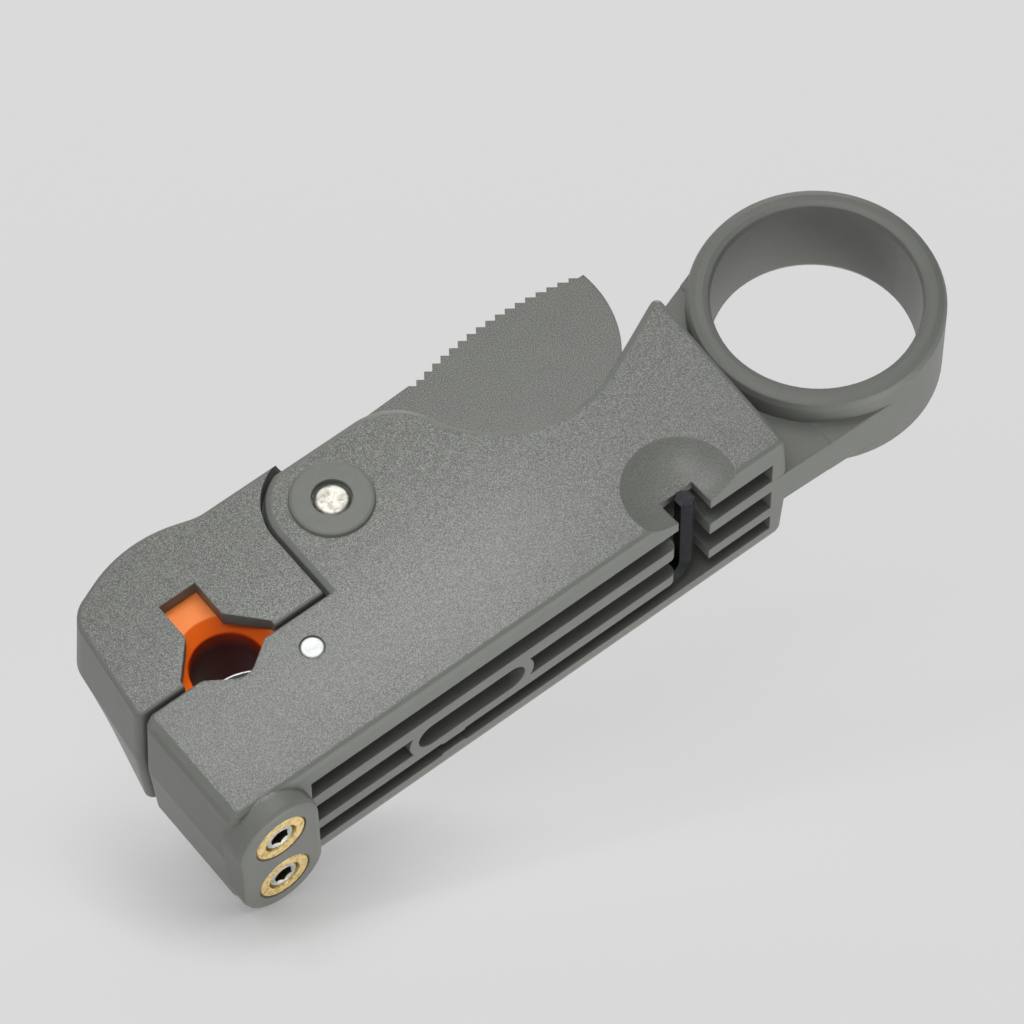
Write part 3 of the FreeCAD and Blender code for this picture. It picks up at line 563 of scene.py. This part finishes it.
rings = []
for step in range(round(total_turns * STEPS_PER_TURN) + 1):
    turn = step / STEPS_PER_TURN
    angle = 2 * math.pi * turn
    out = Vector((math.cos(angle), 0, -math.sin(angle)))
    centre = Vector((spring_middle.x, low.y + wire_radius + spring_height(turn), spring_middle.z))
    centre += out * coil_radius
    section = []
    for index in range(WIRE_SIDES):
        around = 2 * math.pi * index / WIRE_SIDES
        section.append(centre + out * (wire_radius * math.cos(around))
                       + Vector((0, wire_radius * math.sin(around), 0)))
    rings.append(section)
coil = ring_mesh("lever_coil_spring", rings, (True, True))
coil.data.materials.append(ground_steel)
smooth_below(coil, 50)
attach(coil, "body")
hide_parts("lever_spring")
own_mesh(coil)
print("coil spring faces:", len(coil.data.polygons))

# %% [markdown]
# ## Camera
# The photograph was taken with a long lens from above the ribbed side and the nose. The camera's
# place was worked out from the tool's straight edges: its direction, its distance and a small
# roll, with a focal length for a sensor 36 mm wide.

# %% Camera
AZIMUTH = math.radians(37.21)
ELEVATION = math.radians(59.15)
ROLL = math.radians(-1.17)
DISTANCE = 613.0 * MM
FOCAL_MM = 197.16
AIM = Vector((-3.02, -0.43, 10.23)) * MM

right = Vector((math.cos(AZIMUTH), -math.sin(AZIMUTH), 0))
ahead = Vector((math.sin(AZIMUTH), math.cos(AZIMUTH), 0))
back = Vector((0, 0, 1)) * math.sin(ELEVATION) - ahead * math.cos(ELEVATION)
up = back.cross(right)
turned_right = right * math.cos(ROLL) + up * math.sin(ROLL)
turned_up = up * math.cos(ROLL) - right * math.sin(ROLL)
camera_data = bpy.data.cameras.new("studio_camera")
camera_data.sensor_width = 36.0
camera_data.lens = FOCAL_MM
camera_data.clip_start = 0.01
camera = bpy.data.objects.new("studio_camera", camera_data)
axes = Matrix((turned_right, turned_up, back)).transposed().to_4x4()
camera.matrix_world = Matrix.Translation(AIM + back * DISTANCE) @ axes
bpy.context.scene.collection.objects.link(camera)
bpy.context.scene.camera = camera
print("camera at mm:", [round(value / MM) for value in camera.location])

# %% [markdown]
# ## Floor
# In the photograph the tool stands on the corner of its screw boss, and the camera looks a little
# down on a pale grey floor. The tool keeps the frame of its CAD model, so here the floor is tilted
# instead, and it is moved up until it touches the tool's lowest corner. To the camera, and in the
# reflections of the metal, most of its brightness is an even glow, which is darker where the tool
# is near, as the Ambient Occlusion node finds it. The rest is lit by the lamps and keeps the
# tool's wide shadow. The floor casts no shadow itself, so that a lamp below it reaches the tool,
# and from below it is clear, so that the tool can be looked at from every side.

# %% Floor
BACKDROP = "#d7d7d7"
FLOOR_PAINT = "#f4f4f4"
FLOOR_GLOW = "#dadada"
FLOOR_HALF_SIDE = 1.5
FLOOR_GAP_MM = 0.02
SPECKLE_MM = 0.5
NEAR_SHARE = 0.85
FAR_SHARE = 0.95
CONTACT_MM = 16
CONTACT_GLOW = 0.5
NEAR_MM = 70
FAR_MM = 220
FLOOR_TILT = math.radians(22)
floor_up = turned_up * math.cos(FLOOR_TILT) + back * math.sin(FLOOR_TILT)
lowest = min((node.matrix_world @ corner.co).dot(floor_up)
             for node in nodes.values() for corner in node.data.vertices)
floor_maker = bmesh.new()
bmesh.ops.create_grid(floor_maker, x_segments=8, y_segments=8, size=FLOOR_HALF_SIDE)
floor_mesh = bpy.data.meshes.new("studio_floor")
floor_maker.to_mesh(floor_mesh)
floor_maker.free()
floor = bpy.data.objects.new("studio_floor", floor_mesh)
floor.matrix_world = (Matrix.Translation(floor_up * (lowest - FLOOR_GAP_MM * MM))
                      @ floor_up.to_track_quat("Z", "Y").to_matrix().to_4x4())
bpy.context.scene.collection.objects.link(floor)
floor.visible_shadow = False
floor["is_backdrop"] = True


def seen_directly(tree):
    """1 for rays that show the backdrop to the camera, in metal or through glass, otherwise 0."""
    path = add(tree, "LightPath").outputs
    mirrored = add(tree, "Math", {"operation": "MAXIMUM"}, {0: path["Is Glossy Ray"],
                                                          1: path["Is Transmission Ray"]})
    return add(tree, "Math", {"operation": "MAXIMUM"}, {0: path["Is Camera Ray"],
                                                      1: mirrored.outputs[0]}).outputs[0]


floor_paint, tree, output = new_material("matt_floor_paint")
place = add(tree, "TexCoord").outputs["Object"]
speckle = add(tree, "TexNoise", {"Scale": cells(SPECKLE_MM)}, {"Vector": place}).outputs["Fac"]
evenly = add(tree, "MapRange", {"To Min": 0.985, "To Max": 1.015}, {"Value": speckle})
painted = add(tree, "VectorMath", {"operation": "SCALE", 0: linear(FLOOR_PAINT)[:3]},
              {"Scale": evenly.outputs["Result"]}).outputs["Vector"]
lit = add(tree, "BsdfDiffuse", {}, {"Color": painted}).outputs["BSDF"]
# The Ambient Occlusion node darkens the even glow where the tool is near: a painted contact shadow.
near_tool = add(tree, "AmbientOcclusion", {"samples": 8, "Distance": CONTACT_MM * MM}).outputs["AO"]
glow = add(tree, "MapRange", {"From Min": 0.3, "From Max": 0.9, "To Min": CONTACT_GLOW},
           {"Value": near_tool})
even = add(tree, "Emission", {"Color": linear(FLOOR_GLOW)},
           {"Strength": glow.outputs["Result"]}).outputs["Emission"]
away = add(tree, "VectorMath", {"operation": "LENGTH"}, {0: place}).outputs["Value"]
faded = add(tree, "MapRange", {"interpolation_type": "SMOOTHSTEP", "From Min": NEAR_MM * MM,
                               "From Max": FAR_MM * MM, "To Min": NEAR_SHARE, "To Max": FAR_SHARE},
            {"Value": away})
share = add(tree, "Math", {"operation": "MULTIPLY"}, {0: seen_directly(tree),
                                                     1: faded.outputs["Result"]})
mixed = add(tree, "MixShader", {}, {"Fac": share.outputs[0], 1: lit, 2: even}).outputs["Shader"]
below = add(tree, "NewGeometry").outputs["Backfacing"]
clear = add(tree, "BsdfTransparent").outputs["BSDF"]
one_sided = add(tree, "MixShader", {}, {"Fac": below, 1: mixed, 2: clear}).outputs["Shader"]
tree.links.new(one_sided, output.inputs["Surface"])
floor.data.materials.append(floor_paint)
print("floor laid, side in metres:", 2 * FLOOR_HALF_SIDE)

# %% [markdown]
# ## Lamps and room
# The front face has a soft sheen that is brightest near the nose and fades across the tool's
# width. A sheen that changes over so few centimetres must come from a lamp close by, in the place
# where the camera would see it mirrored in the face. Two small strips stand there. A large panel
# overhead and a small softbox in front give the main light. The ribbed side is lit from low down,
# as light comes up from a pale table, and the nose from its own end. Two more softboxes light the
# far side and the back for other views, and the room adds only a little.

# %% Lamps and room
ROOM_FILL = 0.06


def soft_lamp(name, aim, direction, distance, size, power):
    """Rectangular lamp at a distance from its aim, turned towards it, hidden from the camera."""
    data = bpy.data.lights.new(name, "AREA")
    data.shape = "RECTANGLE"
    data.size, data.size_y = size
    data.energy = power
    lamp = bpy.data.objects.new(name, data)
    towards = Vector(direction).normalized()
    along = (Vector((1, 0, 0)) - towards * towards.x).normalized()
    lamp.matrix_world = Matrix((along, towards.cross(along), towards)).transposed().to_4x4()
    lamp.location = aim + towards * distance
    lamp.visible_camera = False
    bpy.context.scene.collection.objects.link(lamp)


def mirrored_view(point):
    """Direction in which the camera looks on after the front face has mirrored its view."""
    view = camera.location - point
    return (-view.x, -view.y, view.z)


def from_floor(up, right, front):
    """Direction given by its shares upwards, to the right and to the front of the photograph."""
    return floor_up * up + turned_right * right + turned_right.cross(floor_up) * front


middle = Vector((0, 0, 10)) * MM
sheen_spot = Vector((-32, -9, 19)) * MM
wide_spot = Vector((-22, -9, 19)) * MM
soft_lamp("near_sheen_strip", sheen_spot, mirrored_view(sheen_spot), 0.07, (0.06, 0.006), 0.0122)
soft_lamp("wide_sheen_strip", wide_spot, mirrored_view(wide_spot), 0.14, (0.12, 0.01), 0.027)
soft_lamp("overhead_panel", middle, from_floor(1.0, 0.0, 0.5), 0.9, (1.2, 1.2), 4.6)
soft_lamp("front_softbox", middle, (-0.2, -0.1, 0.97), 0.8, (0.25, 0.25), 1.2)
soft_lamp("low_softbox", middle, (0.2, -1.0, -0.3), 0.8, (0.5, 0.5), 4.1)
soft_lamp("nose_softbox", middle, (-1.0, -0.1, 0.0), 0.8, (0.5, 0.5), 1.9)
soft_lamp("far_side_softbox", middle, from_floor(0.5, 0.0, -1.0), 0.8, (0.5, 0.5), 2.6)
soft_lamp("back_softbox", middle, (0.2, 0.3, -1.0), 0.8, (0.5, 0.5), 2.2)

world = bpy.data.worlds.new("pale_room")
bpy.context.scene.world = world
world.use_nodes = True
tree = world.node_tree
tree.nodes.clear()
room = add(tree, "Background",
           {"Color": linear(BACKDROP), "Strength": ROOM_FILL}).outputs["Background"]
wall = add(tree, "Background", {"Color": linear(BACKDROP)}).outputs["Background"]
both = add(tree, "MixShader", {}, {"Fac": seen_directly(tree), 1: room, 2: wall}).outputs["Shader"]
tree.links.new(both, add(tree, "OutputWorld").inputs["Surface"])
bpy.context.scene.view_settings.view_transform = "Standard"

# %% Measure the visual box and finish
bpy.context.view_layer.update()
low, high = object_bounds()
print("visual box in mm:", [round(side / MM, 2) for side in high - low])
